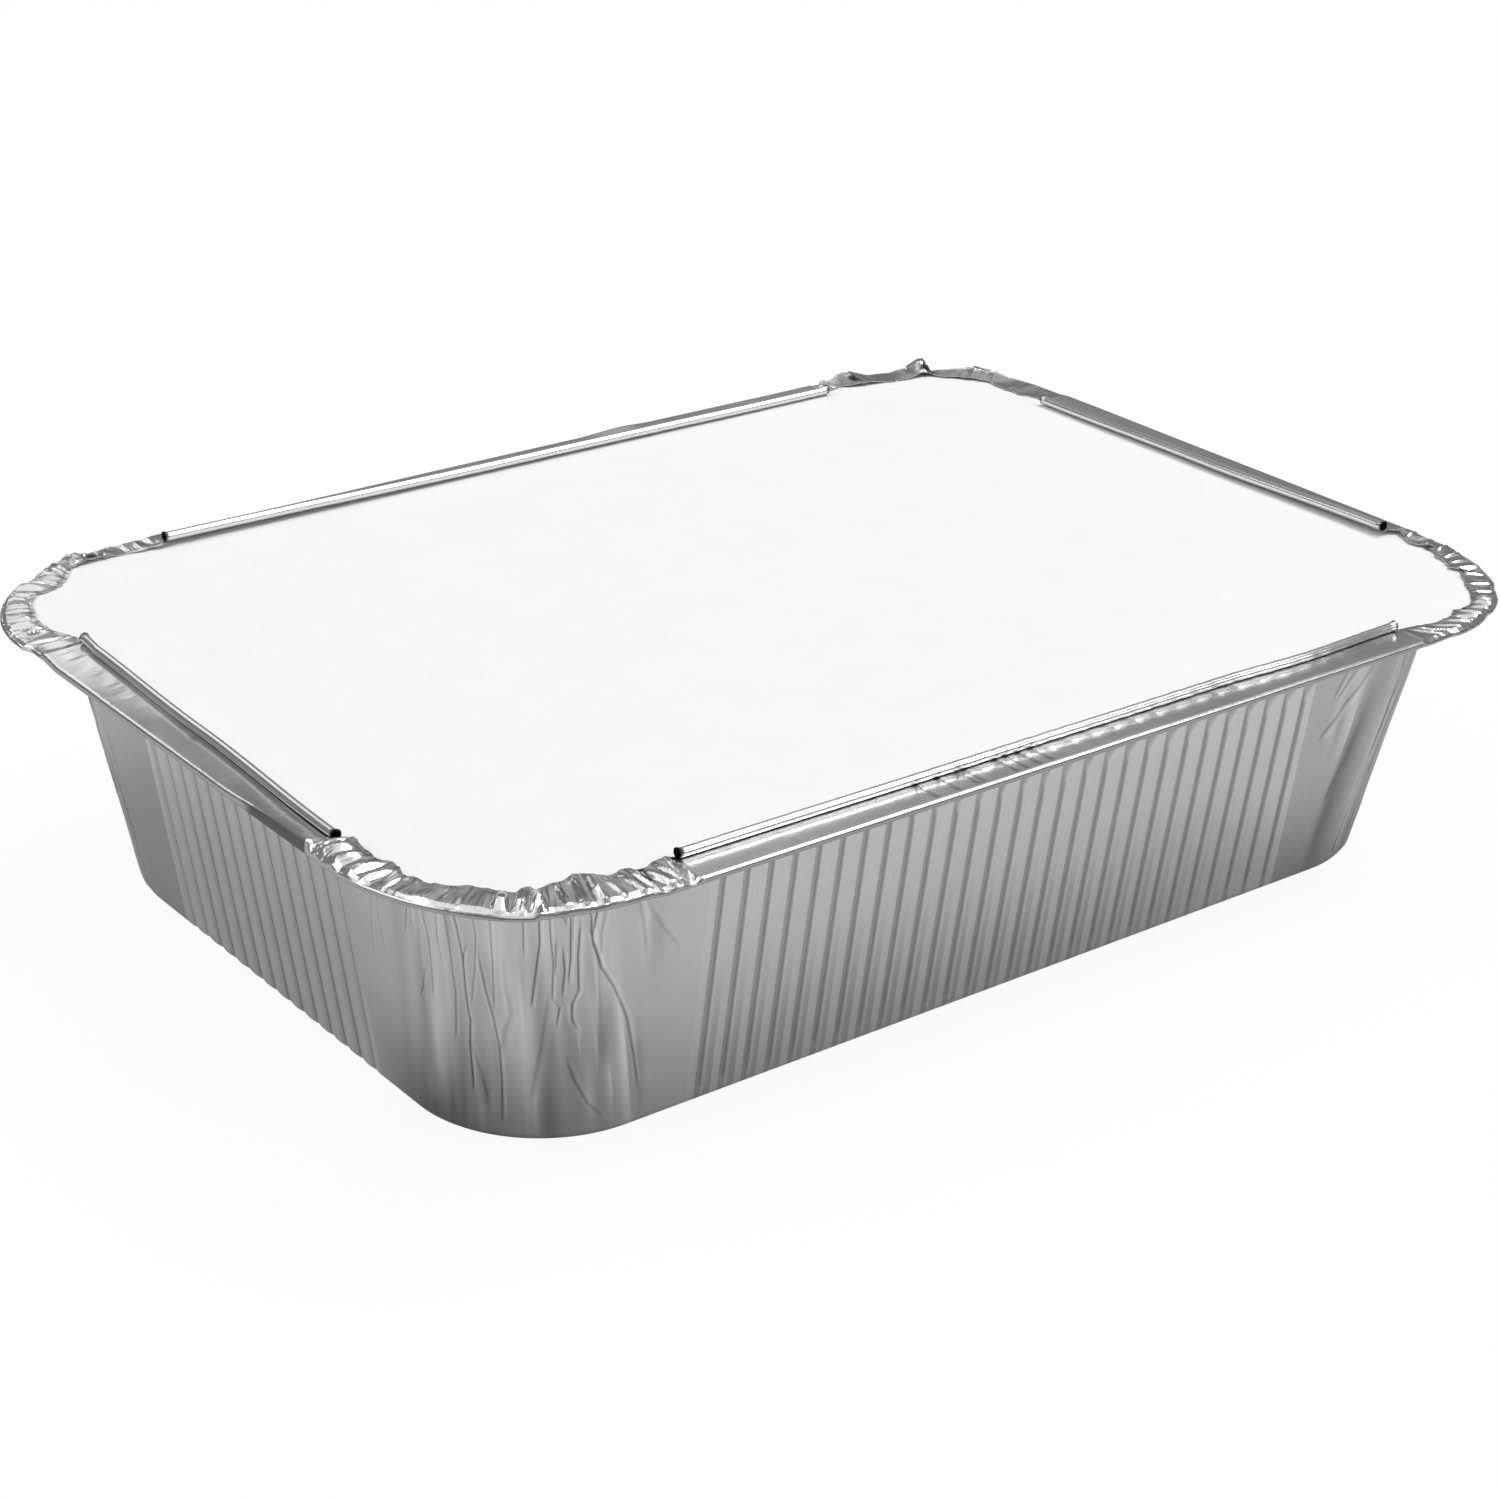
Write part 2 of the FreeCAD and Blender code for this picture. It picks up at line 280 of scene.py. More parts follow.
def flutes(u, along, level):
    """Depth in mm that the flutes stand in from the smooth wall, and how much shade is painted there.

    A groove lies at every whole pitch from the outermost ones. It is flat over its floor, rises to
    the rib over its flanks, and each rib is crowned as 1 minus the square of its place. On the long
    sides the grooves run out at the base's edge, stand a fine burr up on their right, and their mouths
    open to the right under the ledge."""
    side = np.floor(u + 1e-9)
    long = side % 2 == 0
    count = np.where(long, FLUTES[0], FLUTES[1])
    place = along / FLUTE_PITCH + (count - 1) / 2
    nearest = np.clip(np.round(place), 0, count - 1)
    right = (place - nearest) * FLUTE_PITCH
    wide = MOUTH_OPENS * smooth_step((level - 0.78) / 0.09) ** 2 * smooth_step((along + 30) / 60) * long
    off = np.where(right > 0, np.maximum(right - wide, 0), -right)
    flank = (GROOVE_MOUTH - GROOVE_FLOOR) / 2
    in_groove = 1 - smooth_step((off - GROOVE_FLOOR / 2) / flank)
    run_out = np.where(long, smooth_step((level - 0.01) / 0.06), 1.0)
    crown = np.where(long, RIB_CROWN[0], RIB_CROWN[1])
    across = 2 * (place - np.floor(place)) - 1
    rib = crown * across ** 2 * ((place > 0) & (place < count - 1)) * run_out
    burr = BURR * np.exp(-((right - BURR_PLACE) / 0.22) ** 2) * long * run_out
    depth = np.maximum(FLUTE_DEPTH * in_groove * run_out, rib) - burr
    # painted shade on the lower middle of each long side's rib
    middle = np.exp(-((right - 1.95) / 1.05) ** 4) * smooth_step((0.62 - level) / 0.5)
    middle = middle * RIB_DARK * long * smooth_step((62 - along) / 50)
    middle = middle * (place > 0) * (place < count - 1)
    # painted shade along the short sides' grooves, soft over the ribs beside them
    narrow = 1 - smooth_step((off - 0.15) / 0.55)
    inside = smooth_step((place + 0.3) / 0.25) * smooth_step((count - 0.7 - place) / 0.25)
    faint = np.where(side == 3, 0.3 + 0.7 * smooth_step((along + 32) / 16), 1.0)
    shaded = (0.22 * narrow + 0.26 * np.exp(-(off / 0.85) ** 2)) * inside * faint
    shade_paint = np.where(long, np.maximum(GROOVE_DARK * in_groove, middle), shaded)
    return depth, shade_paint


def grid_mesh(name, points, thickness, painted_shade):
    """Closed thin sheet as an object: the grid of points and a copy of it set off by its thickness.

    points is rows by columns by 3, in mm. The grid faces the side of columns cross rows, and the copy
    lies behind it along each point's normal, the cross product of the two directions. With a
    thickness below 0 the copy lies in front, and the columns are reversed so that faces look outward.
    The last argument is the same grid of painted shade, 0 to 1, that darkens the foil's colour."""
    rows, columns = points.shape[:2]
    painted_shade = np.broadcast_to(painted_shade, (rows, columns))
    if thickness < 0:
        points = points[:, ::-1]
        painted_shade = painted_shade[:, ::-1]
    normal = np.cross(np.gradient(points, axis=1), np.gradient(points, axis=0))
    normal /= np.maximum(np.linalg.norm(normal, axis=-1, keepdims=True), 1e-9)
    second_skin = points - abs(thickness) * normal
    vertices = np.concatenate([points.reshape(-1, 3), second_skin.reshape(-1, 3)])
    number = np.arange(rows * columns).reshape(rows, columns)
    face = np.stack([number[:-1, :-1], number[:-1, 1:], number[1:, 1:], number[1:, :-1]], -1)
    face = face.reshape(-1, 4)
    rim = np.concatenate([number[0, ::-1], number[1:, 0], number[-1, 1:], number[-2::-1, -1]])
    after = np.roll(rim, -1)
    keep = rim != after
    offset = rows * columns
    edge = np.stack([rim, after, after + offset, rim + offset], -1)[keep]
    quads = np.concatenate([face, face[:, ::-1] + offset, edge])
    return quad_object(name, vertices, quads, np.tile(painted_shade.ravel(), 2))


def quad_object(name, vertices, quads, painted_shade):
    """Object at the origin made of four-sided faces, from arrays in mm; sharp over 35 degrees.

    The last argument, the painted shade, goes with the vertices, for the material."""
    mesh = bpy.data.meshes.new(name)
    mesh.vertices.add(len(vertices))
    mesh.vertices.foreach_set("co", (vertices * 0.001).astype(np.float32).ravel())
    mesh.loops.add(quads.size)
    mesh.loops.foreach_set("vertex_index", quads.astype(np.int32).ravel())
    mesh.polygons.add(len(quads))
    mesh.polygons.foreach_set("loop_start", np.arange(0, quads.size, 4, dtype=np.int32))
    mesh.update(calc_edges=True)
    mesh.polygons.foreach_set("use_smooth", np.ones(len(quads), bool))
    mesh.set_sharp_from_angle(angle=math.radians(35))
    shade_paint = mesh.attributes.new("painted_shade", "FLOAT", "POINT")
    shade_paint.data.foreach_set("value", painted_shade.astype(np.float32))
    piece = bpy.data.objects.new(name, mesh)
    bpy.context.scene.collection.objects.link(piece)
    return piece


def foil_material(name, roughness, grain, bump):
    """Aluminium foil: bright metal with a fine rolled grain along X, faint cloudy scuffs and painted
    shade.
    """
    material = bpy.data.materials.new(name)
    material.use_nodes = True
    tree = material.node_tree
    shader = tree.nodes["Principled BSDF"]
    shader.inputs["Metallic"].default_value = 1.0
    coordinates = shader_node(tree, "TexCoord")
    stretch = shader_node(tree, "Mapping", Scale=(60, 1400, 1400))
    rolled = shader_node(tree, "TexNoise", Scale=1.0, Detail=3.0)
    cloud = shader_node(tree, "TexNoise", Scale=90.0, Detail=5.0)
    shade = shader_node(tree, "MapRange", To_Min=0.74, To_Max=0.82)
    dull_and_shade = shader_node(tree, "MapRange", To_Min=roughness - 0.05, To_Max=roughness + 0.06)
    relief = shader_node(tree, "Bump", Strength=grain, Distance=0.00003)
    scuff = shader_node(tree, "TexNoise", Scale=450.0, Detail=4.0)
    dents = shader_node(tree, "Bump", Strength=bump, Distance=0.0001)
    # painted shade: the vertex attribute darkens the base colour, to a tenth at 1, and lightens it
    # below 0
    shade_paint = shader_node(tree, "Attribute")
    shade_paint.attribute_name = "painted_shade"
    painted_dark = shader_node(tree, "MapRange", To_Min=1.0, To_Max=0.10)
    painted_dark.clamp = False
    tone = shader_node(tree, "Math")
    tone.operation = "MULTIPLY"
    link = tree.links.new
    link(coordinates.outputs["Object"], stretch.inputs["Vector"])
    link(stretch.outputs[0], rolled.inputs["Vector"])
    link(coordinates.outputs["Object"], cloud.inputs["Vector"])
    link(coordinates.outputs["Object"], scuff.inputs["Vector"])
    link(cloud.outputs["Fac"], shade.inputs["Value"])
    link(shade_paint.outputs["Fac"], painted_dark.inputs["Value"])
    link(shade.outputs[0], tone.inputs[0])
    link(painted_dark.outputs[0], tone.inputs[1])
    link(tone.outputs[0], shader.inputs["Base Color"])
    link(cloud.outputs["Fac"], dull_and_shade.inputs["Value"])
    link(dull_and_shade.outputs[0], shader.inputs["Roughness"])
    link(scuff.outputs["Fac"], dents.inputs["Height"])
    link(rolled.outputs["Fac"], relief.inputs["Height"])
    link(dents.outputs[0], relief.inputs["Normal"])
    link(relief.outputs[0], shader.inputs["Normal"])
    return material


satin_foil = foil_material("satin_foil", 0.30, 0.5, 0.12)
bright_foil = foil_material("bright_foil", 0.20, 0.3, 0.12)


def as_foil(piece, material):
    """The piece is part of the pressed sheet."""
    piece.data.materials.append(material)
    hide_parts("foil_tray")
    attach(piece, "root")


COLUMNS_TO_PITCH = 20
# columns round each corner; the two beside the front wall have the finest creases
ROUND_COLUMNS = (300, 160, 160, 300)


def fluted_columns(side):
    """Places u across one side's flutes, in even steps, and one on the margin at each end."""
    count = FLUTES[side % 2]
    outermost = (count - 1) / 2 * COLUMNS_TO_PITCH
    margin = COLUMNS_TO_PITCH / 2
    along = np.arange(-outermost - margin, outermost + margin + 0.5) / COLUMNS_TO_PITCH * FLUTE_PITCH
    half = FLUTED_HALF[side % 2]
    along = np.concatenate([[-half], along[np.abs(along) < half - 0.1], [half]])
    return side + 0.25 + 0.25 * (along / half + 1) / 2


def corner_columns(side):
    """Places u of the smooth wall from the flutes of one side round the corner to the next side's."""
    return side + 0.5 + np.concatenate([np.linspace(0, 0.25, 60)[:-1],
                                        np.linspace(0.25, 0.5, ROUND_COLUMNS[side])[:-1],
                                        np.linspace(0.5, 0.75, 60)])


def base_ring(u):
    """Ring on the table where the base ends, inside the rounded base edge."""
    along, turn, point, outward = wall_ring(u, 0.0)
    depth = flutes(u, along, 0.0)[0]
    return point - outward * (BASE_EDGE_RADIUS + depth)[:, None]


everywhere = np.concatenate([stretch(side)[:-1] for side in range(4)
                             for stretch in (fluted_columns, corner_columns)])
edge_ring = base_ring(everywhere)
BASE_ROWS = 12
share_out = np.linspace(1, 0, BASE_ROWS + 1)[:-1, None, None]
face_up = np.concatenate([edge_ring[None] * share_out, np.zeros((BASE_ROWS, len(everywhere), 1))], -1)
under = face_up.reshape(-1, 3)
over = under + np.array([0, 0, FOIL])
number = np.arange(BASE_ROWS * len(everywhere)).reshape(BASE_ROWS, -1)
after = np.roll(number, -1, axis=1)
ring_quads = np.stack([number[:-1], number[1:], after[1:], after[:-1]], -1).reshape(-1, 4)
pole = len(under)
# opposite sides are alike, so the columns are even in number and the innermost ring closes on the
# middle point with two wedges to a face
last = number[-1]
pairs = np.arange(0, len(last) - 1, 2)
hub = np.stack([last[pairs], np.full(len(pairs), pole), last[(pairs + 2) % len(last)],
                last[pairs + 1]], -1)
one_side = np.concatenate([under, [[0, 0, 0]]])
other_side = np.concatenate([over, [[0, 0, FOIL]]])
quads = np.concatenate([ring_quads, hub])
border = np.stack([number[0], after[0], after[0] + pole + 1, number[0] + pole + 1], -1)
base = quad_object("tray_base", np.concatenate([one_side, other_side]),
                   np.concatenate([quads, quads[:, ::-1] + pole + 1, border]), np.zeros(2 * pole + 2))
as_foil(base, satin_foil)


# Foil tray: fluted walls
# The four walls lean out to a flat ledge, and are stiffened by narrow grooves pressed side by side
# from the ledge down to the base.
LEDGE_FILLET = 0.8
LONG_RUN = 2 * (RIM_HALF_LONG - RIM_RADIUS)
WIDE_RUN = 2 * (RIM_HALF_WIDE - RIM_RADIUS)
RIM_ARC = RIM_RADIUS * math.pi / 2
RIM_AROUND = 2 * (LONG_RUN + WIDE_RUN + 2 * RIM_ARC)
SIDE_START = np.cumsum([0, LONG_RUN + RIM_ARC, WIDE_RUN + RIM_ARC, LONG_RUN + RIM_ARC])
SIDE_RUN = [LONG_RUN, WIDE_RUN, LONG_RUN, WIDE_RUN]
FOLD_DEEP = 0.34            # from the rim's outer line to where the fold's round ends
FLUTED_ROWS = 58


def rim_distance(u):
    """Distance in mm along the rim's outer line that belongs to u, from the front side's start."""
    side = np.floor(u + 1e-9)
    along, turn, point, outward = ring(u, RIM_HALF_LONG, RIM_HALF_WIDE, RIM_RADIUS)
    own = np.where(side % 2 == 0, LONG_RUN, WIDE_RUN)
    return SIDE_START[side.astype(int) % 4] + along + own / 2 + turn * RIM_RADIUS


# how far the fold stands in from the rim's nominal outer line where it was crimped, as (mm along
# the rim, mm)
RIM_PULL = [(0, 0.6), (1.4, 0.4), (4, 0), (152, 0), (157, 0.35), (158.5, 0.05), (164, 0),
            (169, 0.4), (171, 0.05), (176, 0), (181, 0.45), (183.5, 0.05), (189, 0.45), (191, 0.05),
            (197, 0.35), (198.5, 0), (204, 0.3), (206, 0.35), (208, 0), (210, 0), (514, 0),
            (518, 0.6), (522, 0.7), (526, 0), (549, 0), (551, 0.75), (555, 0.7), (560, 0.2),
            (640, 0.1), (646, 0.3), (652, 0.75), (664, 0.75), (668, 0.5), (672, 0.1), (675, 0.1),
            (678, 0.7), (687, 0.75), (690.7, 0.6)]


def rim_pull(distance):
    """How far in the fold stands, in mm, by straight lines between the places of RIM_PULL."""
    places, pulls = np.array(RIM_PULL).T
    return np.interp(distance % RIM_AROUND, places, pulls)


def rim_line(distance):
    """Point and outward direction on the rim's outer line, at mm from the front side's start."""
    distance = distance % RIM_AROUND
    side = np.searchsorted(SIDE_START, distance, "right") - 1
    local = distance - SIDE_START[side]
    own = np.where(side % 2 == 0, LONG_RUN, WIDE_RUN)
    along = np.minimum(local, own) - own / 2
    turn = np.maximum(local - own, 0) / RIM_RADIUS
    point, outward = outline(side, along, turn, RIM_HALF_LONG, RIM_HALF_WIDE, RIM_RADIUS)
    return point - outward * rim_pull(distance)[..., None], outward


def wall_points(u, rows, relief):
    """Grid of the wall's outer face from the base's edge up to the ledge's end, and its painted shade.

    The rounded base edge is a quarter circle, the wall a straight line set in by the relief, and the
    ledge a straight line out to the fold with a small fillet where they meet. relief gives depth and
    painted shade for u, along and level."""
    quarter = np.linspace(0, np.pi / 2, 7)[:-1]
    points = []
    along, turn, point, outward = wall_ring(u, 0.0)
    base_depth, base_shade_paint = relief(u, along, 0.0)
    shade_paint = [base_shade_paint] * len(quarter)
    for angle in quarter:
        inset = BASE_EDGE_RADIUS * (1 - np.sin(angle)) + base_depth
        up = np.full(len(u), BASE_EDGE_RADIUS * (1 - np.cos(angle)))
        points.append(np.column_stack([point - outward * inset[:, None], up]))
    wall_top = SHELF - FOIL - LEDGE_FILLET
    for up in np.linspace(BASE_EDGE_RADIUS, wall_top, rows):
        level = up / SHELF
        along, turn, point, outward = wall_ring(u, level)
        depth, row_shade_paint = relief(u, along, level)
        points.append(np.column_stack([point - outward * depth[:, None], np.full(len(u), up)]))
        shade_paint.append(row_shade_paint)
    start = points[-1][:, :2]
    for angle in np.linspace(0, np.pi / 2, 6)[1:]:
        spot = start + outward * LEDGE_FILLET * (1 - np.cos(angle))
        up = np.full(len(u), wall_top + LEDGE_FILLET * np.sin(angle))
        points.append(np.column_stack([spot, up]))
        shade_paint.append(row_shade_paint)
    inner = points[-1][:, :2]
    fold, outward = rim_line(rim_distance(u))
    outer = fold - outward * (FOIL + FOLD_DEEP)
    for share in np.linspace(0, 1, 6)[1:]:
        points.append(np.column_stack([inner + (outer - inner) * share, np.full(len(u), SHELF - FOIL)]))
        shade_paint.append(0 * row_shade_paint)
    return np.stack(points), np.stack(shade_paint)


for side, name in enumerate(("front", "right", "back", "left")):
    points, shade_paint = wall_points(fluted_columns(side), FLUTED_ROWS, flutes)
    wall = grid_mesh("wall_" + name, points, FOIL, shade_paint)
    as_foil(wall, satin_foil)


# Foil tray: smooth wall at the corners
# Where the sheet is drawn round a corner it has too much length, which gathers into fine upright
# creases that are deepest under the ledge, and into broad soft waves beside them.

# a crease is its path as (mm round the corner from its middle, level up the wall), then its depth
# and width in mm and how dark the painted shade along it is
NEAR_CREASES = [
    ([(-15.1, .90), (-15.4, .81), (-16.1, .72)], .16, .16, .9),
    ([(-12.4, .92), (-12.2, .88), (-11.0, .74), (-10.8, .62), (-10.8, .52)], .20, .17, .9),
    ([(-12.3, .61), (-13.9, .50)], .18, .17, .9),
    ([(-9.2, .86), (-9.3, .76), (-8.7, .67)], .12, .15, .6),
    ([(-8.0, .90), (-7.4, .72), (-7.0, .57), (-7.6, .39)], .18, .15, .8),
    ([(-6.7, .92), (-6.0, .83), (-5.4, .71), (-5.4, .58), (-5.2, .49), (-5.0, .47), (-5.4, .37),
      (-5.4, .19)], .26, .17, 1.0),
    ([(-4.7, .76), (-5.5, .70)], .16, .15, .8),
    ([(-5.1, .36), (-4.0, .25), (-3.4, .15)], .20, .30, .35),
    ([(-3.4, .88), (-3.1, .80), (-3.7, .67), (-4.6, .54)], .16, .14, .7),
    ([(-3.0, .73), (-2.4, .60), (-1.5, .49), (-1.0, .39), (-1.0, .26), (-1.4, .09)], .26, .18, .9),
    ([(-0.8, .90), (-0.9, .73), (-1.3, .53)], .18, .15, .8),
    ([(0.6, .73), (0.6, .61), (1.0, .51), (-0.2, .43), (-0.6, .36)], .24, .40, .35),
    ([(3.8, .89), (3.5, .75)], .15, .15, .8),
    ([(6.0, .89), (5.8, .79), (5.0, .68), (4.0, .55)], .24, .17, 1.0),
    ([(6.3, .57), (4.8, .37), (2.9, .18)], .20, .32, .30),
    ([(7.5, .90), (7.4, .80), (7.5, .71), (6.9, .57)], .16, .14, .8),
    ([(8.9, .91), (9.7, .86)], .22, .17, 1.0),
    ([(10.5, .90), (9.7, .86)], .18, .15, .8),
    ([(8.1, .79), (7.7, .67)], .16, .15, .8),
    ([(9.0, .75), (9.0, .67), (8.4, .58)], .20, .17, .9),
    ([(10.5, .89), (10.0, .72), (9.4, .63)], .22, .16, 1.0),
    ([(11.0, .91), (10.5, .79)], .14, .14, .7),
    ([(11.7, .83), (11.1, .72), (10.8, .59), (9.7, .54), (9.5, .48), (10.1, .44)], .24, .17, 1.0),
    ([(7.0, .57), (7.9, .53), (7.2, .46)], .16, .15, .8),
    ([(13.1, .93), (13.5, .86), (13.5, .76), (14.5, .68)], .22, .16, .9),
    ([(15.0, .92), (14.2, .85), (13.4, .76)], .26, .20, 1.0),
    ([(13.2, .82), (14.4, .66), (16.0, .58), (18.0, .43), (18.8, .29), (19.5, .16)], .34, .22, .9),
    ([(8.4, .30), (9.3, .22), (10.6, .14), (12.5, .08)], .24, .26, .6),
    ([(20.3, .88), (20.9, .80), (21.3, .67)], .14, .30, .45),
    ([(21.6, .85), (24.1, .73), (26.4, .65)], .10, .30, .35),
    ([(16.2, .90), (14.9, .79), (14.5, .70)], .12, .16, .4),
    ([(-23.5, .80), (-24.5, .68), (-25.2, .56)], .10, .22, .4),
    ([(-22.0, .84), (-22.6, .70), (-22.0, .60)], .08, .25, .3),
]
RIGHT_CREASES = [
    ([(-21.0, .87), (-21.5, .84)], -.12, .20, 0),
    ([(-24.6, .86), (-25.9, .76)], .12, .30, .6),
    ([(-22.6, .86), (-25.2, .75)], .12, .30, .6),
    ([(-19.6, .84), (-23.0, .72), (-25.3, .64), (-26.5, .60)], .14, .45, .6),
    ([(-17.7, .63), (-18.0, .47), (-20.0, .30)], .10, .9, .2),
    ([(-10.0, .68), (-11.0, .49), (-12.4, .34), (-12.5, .06)], .30, .42, 1.0),
    ([(-12.6, .33), (-14.5, .25), (-15.8, .22)], -.16, .25, 0),
    ([(-10.8, .71), (-10.5, .62)], .20, .35, .8),
    ([(-11.3, .83), (-11.1, .79)], .20, .35, .8),
    ([(-8.0, .60), (-8.6, .35)], .24, .6, .5),
    ([(-5.0, .9), (-5.5, .5), (-4.6, .3)], .20, .2, .7),
    ([(-2.0, .9), (-1.4, .6), (-2.0, .35)], .20, .2, .7),
    ([(1.0, .9), (0.6, .7), (1.3, .45), (1.0, .2)], .24, .2, .8),
    ([(4.0, .9), (4.6, .6)], .18, .2, .7),
    ([(7.5, .9), (7.0, .7), (7.8, .4)], .20, .2, .7),
    ([(11.0, .9), (10.6, .6), (11.4, .3)], .20, .2, .7),
]
# broad waves: middle in mm and level, half width and half height, depth, which also sets their painted
# shade
NEAR_WAVES = [
    (-10.5, .40, 1.1, .28, -.22), (-13.5, .45, 1.4, .35, .20), (-6.8, .30, .9, .25, .16),
    (2.2, .30, 1.5, .30, -.20), (5.0, .20, 1.6, .30, .22), (9.5, .38, 2.2, .25, .25),
    (13.5, .30, 1.6, .30, .20), (16.6, .25, 1.0, .35, -.30), (20.0, .20, .9, .15, .16),
    (11.0, .15, .9, .10, -.15), (14.0, .15, .8, .12, -.20), (3.4, .12, .5, .10, -.14),
    (-4.3, .10, .6, .07, -.12), (21.3, .76, .8, .12, -.12), (23.5, .70, 1.2, .12, .10),
    (10.2, .38, .35, .06, -.16), (9.0, .50, .5, .05, -.16), (12.7, .36, .45, .08, -.16),
    (14.2, .20, .5, .07, -.2), (15.4, .42, .9, .12, .14), (6.2, .38, .8, .12, .12),
    (-2.2, .62, .9, .10, .10), (-8.0, .55, .7, .12, -.12), (-18.5, .55, 1.6, .4, .10),
]
RIGHT_WAVES = [
    (-21.5, .70, 1.4, .25, -.18), (-17.5, .45, 2.2, .35, .24), (-24.5, .68, .9, .14, -.12),
    (-13.0, .50, 1.0, .30, -.15), (-19.0, .20, 2.0, .20, .14), (-22.5, .62, .7, .10, .14),
    (-20.5, .60, .6, .12, -.14), (4.0, .4, 2.5, .4, .2),
]
# painted shade by mm round the corner: at the ledge, and how much more at the base, darker towards the
# base
RIGHT_PAINTED_SHADE = ((-32, .25, .10), (-18, .30, .10), (-6, .52, .04), (30, .52, .04))
LEFT_PAINTED_SHADE = ((-10, 0, 0), (8, .36, -.04), (30, .36, -.04))
NEAR_PAINTED_SHADE = ((-32, 0, .15), (-24, -.08, .55), (-12, -.10, .90), (-4, .04, .58), (6, .15, .28),
             (14, .14, .12), (22, .14, .02), (32, .04, 0))
EVEN = ((-1, 0, 0), (1, 0, 0))
CREASE_DARK = 0.68          # painted shade along a crease, on its sharp side
FLANK_BRIGHT = 0.22         # and painted highlight on the side that eases back
# a wave's depth is scaled by WAVE_DEEPER, and its painted shade and painted highlight by WAVE_SHADE
WAVE_DEEPER = 2.0
WAVE_SHADE = 1.4
CORNER_ROWS = 84


def gathers(creases, waves, dull_and_shade):
    """Relief function for a smooth wall with these creases and waves, and this painted shade by place.

    A crease is a step that falls sharply on one side of its path and eases back over the other, and
    runs out at both ends. A wave is a Gaussian in both directions, and small ones lie everywhere.
    Both also paint shade into the colour, with a painted highlight on a crease's flank and a bulge."""
    dice = np.random.default_rng(12)
    small_waves = [(dice.uniform(-15, 17), dice.uniform(0.1, 0.85), dice.uniform(0.35, 1.1),
                    dice.uniform(0.06, 0.2), dice.uniform(-0.10, 0.10)) for _ in range(60)]

    def relief(u, along, level):
        middle = wall_ring(u, 0.5)[2]
        place = np.concatenate([[0], np.cumsum(np.linalg.norm(np.diff(middle, axis=0), axis=1))])
        place = place - place[-1] / 2
        depth = np.zeros(len(u))
        # painted shade by place, darker towards the base
        spots, upper, lower = np.array(dull_and_shade, float).T
        shade_paint = np.interp(place, spots, upper)
        shade_paint = shade_paint + np.interp(place, spots, lower) * (1 - smooth_step(level / 0.5))
        for path, deep, wide, painted_dark in creases:
            spots, levels = np.array(path).T
            rise = np.argsort(levels)
            off = place - np.interp(level, levels[rise], spots[rise])
            own = smooth_step((level - levels.min()) / 0.05 + 0.5)
            own = own * smooth_step((levels.max() - level) / (0.02 + 0.3 * wide) + 0.5)
            near = np.where(off < 0, np.exp(-(off / wide) ** 2), np.exp(-off / (4 * wide)))
            depth += deep * near * own
            # painted shade along the crease, and a painted highlight on its flank
            flank = FLANK_BRIGHT * painted_dark * np.exp(-((off - 2.6 * wide) / (1.3 * wide)) ** 2)
            shade_paint = shade_paint + (CREASE_DARK * painted_dark * np.exp(-(off / (0.8 * wide)) ** 2) - flank) * own
        for spot, height, wide, tall, deep in waves + small_waves:
            swell = deep * np.exp(-((place - spot) / wide) ** 2 - ((level - height) / tall) ** 2)
            depth += WAVE_DEEPER * swell
            # painted shade where the wave dips in, painted highlight where it bulges out
            shade_paint = shade_paint + WAVE_SHADE * swell
        return depth * smooth_step(level / 0.06), np.clip(shade_paint, -0.25, 0.75)
    return relief


def random_gathers(seed, dull_and_shade):
    """Creases and waves for a corner that the photo doesn't show."""
    dice = np.random.default_rng(seed)
    creases = []
    for _ in range(24):
        spot = dice.uniform(-16, 16)
        low = dice.uniform(0.15, 0.75)
        bend = dice.uniform(-1.2, 1.2, 2)
        path = [(spot, 0.9), (spot + bend[0], (0.9 + low) / 2), (spot + bend.sum(), low)]
        creases.append((path, dice.uniform(0.12, 0.26), dice.uniform(0.15, 0.25),
                        dice.uniform(0.5, 1.0)))
    waves = [(dice.uniform(-16, 16), dice.uniform(0.1, 0.6), dice.uniform(0.8, 2),
              dice.uniform(0.15, 0.35), dice.uniform(-0.22, 0.22)) for _ in range(10)]
    return gathers(creases, waves, dull_and_shade)


CORNER_RELIEF = {"right": gathers(RIGHT_CREASES, RIGHT_WAVES, RIGHT_PAINTED_SHADE),
                 "far": random_gathers(6, EVEN),
                 "left": random_gathers(7, LEFT_PAINTED_SHADE),
                 "near": gathers(NEAR_CREASES, NEAR_WAVES, NEAR_PAINTED_SHADE)}
for side, name in enumerate(("right", "far", "left", "near")):
    points, shade_paint = wall_points(corner_columns(side), CORNER_ROWS, CORNER_RELIEF[name])
    corner = grid_mesh("wall_corner_" + name, points, FOIL, shade_paint)
    as_foil(corner, satin_foil)


# Foil tray: rolled rim of the straight sides
# The rim is folded back in over the card as a flat lip, and its edge is rolled into a hollow bead
# that lies on the card. Closing the tray by hand has left lip and bead slightly wavy and scuffed.
BEAD_RADIUS = 0.78
BEAD_TURN = math.radians(395)
BEAD_FLARE = 0.14           # how much wider the bead is at its cut ends
BEAD_TIGHTENS = 0.16        # how much its radius shrinks in a quarter turn, after the first three
LID_PLAY = 0.06
ROLLED_STEP = 0.35          # between the grid's columns
FOLD_ROWS = 10
LIP_ROWS = 15
BEAD_ROWS = 40
LIP = slice(FOLD_ROWS, FOLD_ROWS + LIP_ROWS)
BEAD = slice(LIP.stop, LIP.stop + BEAD_ROWS)
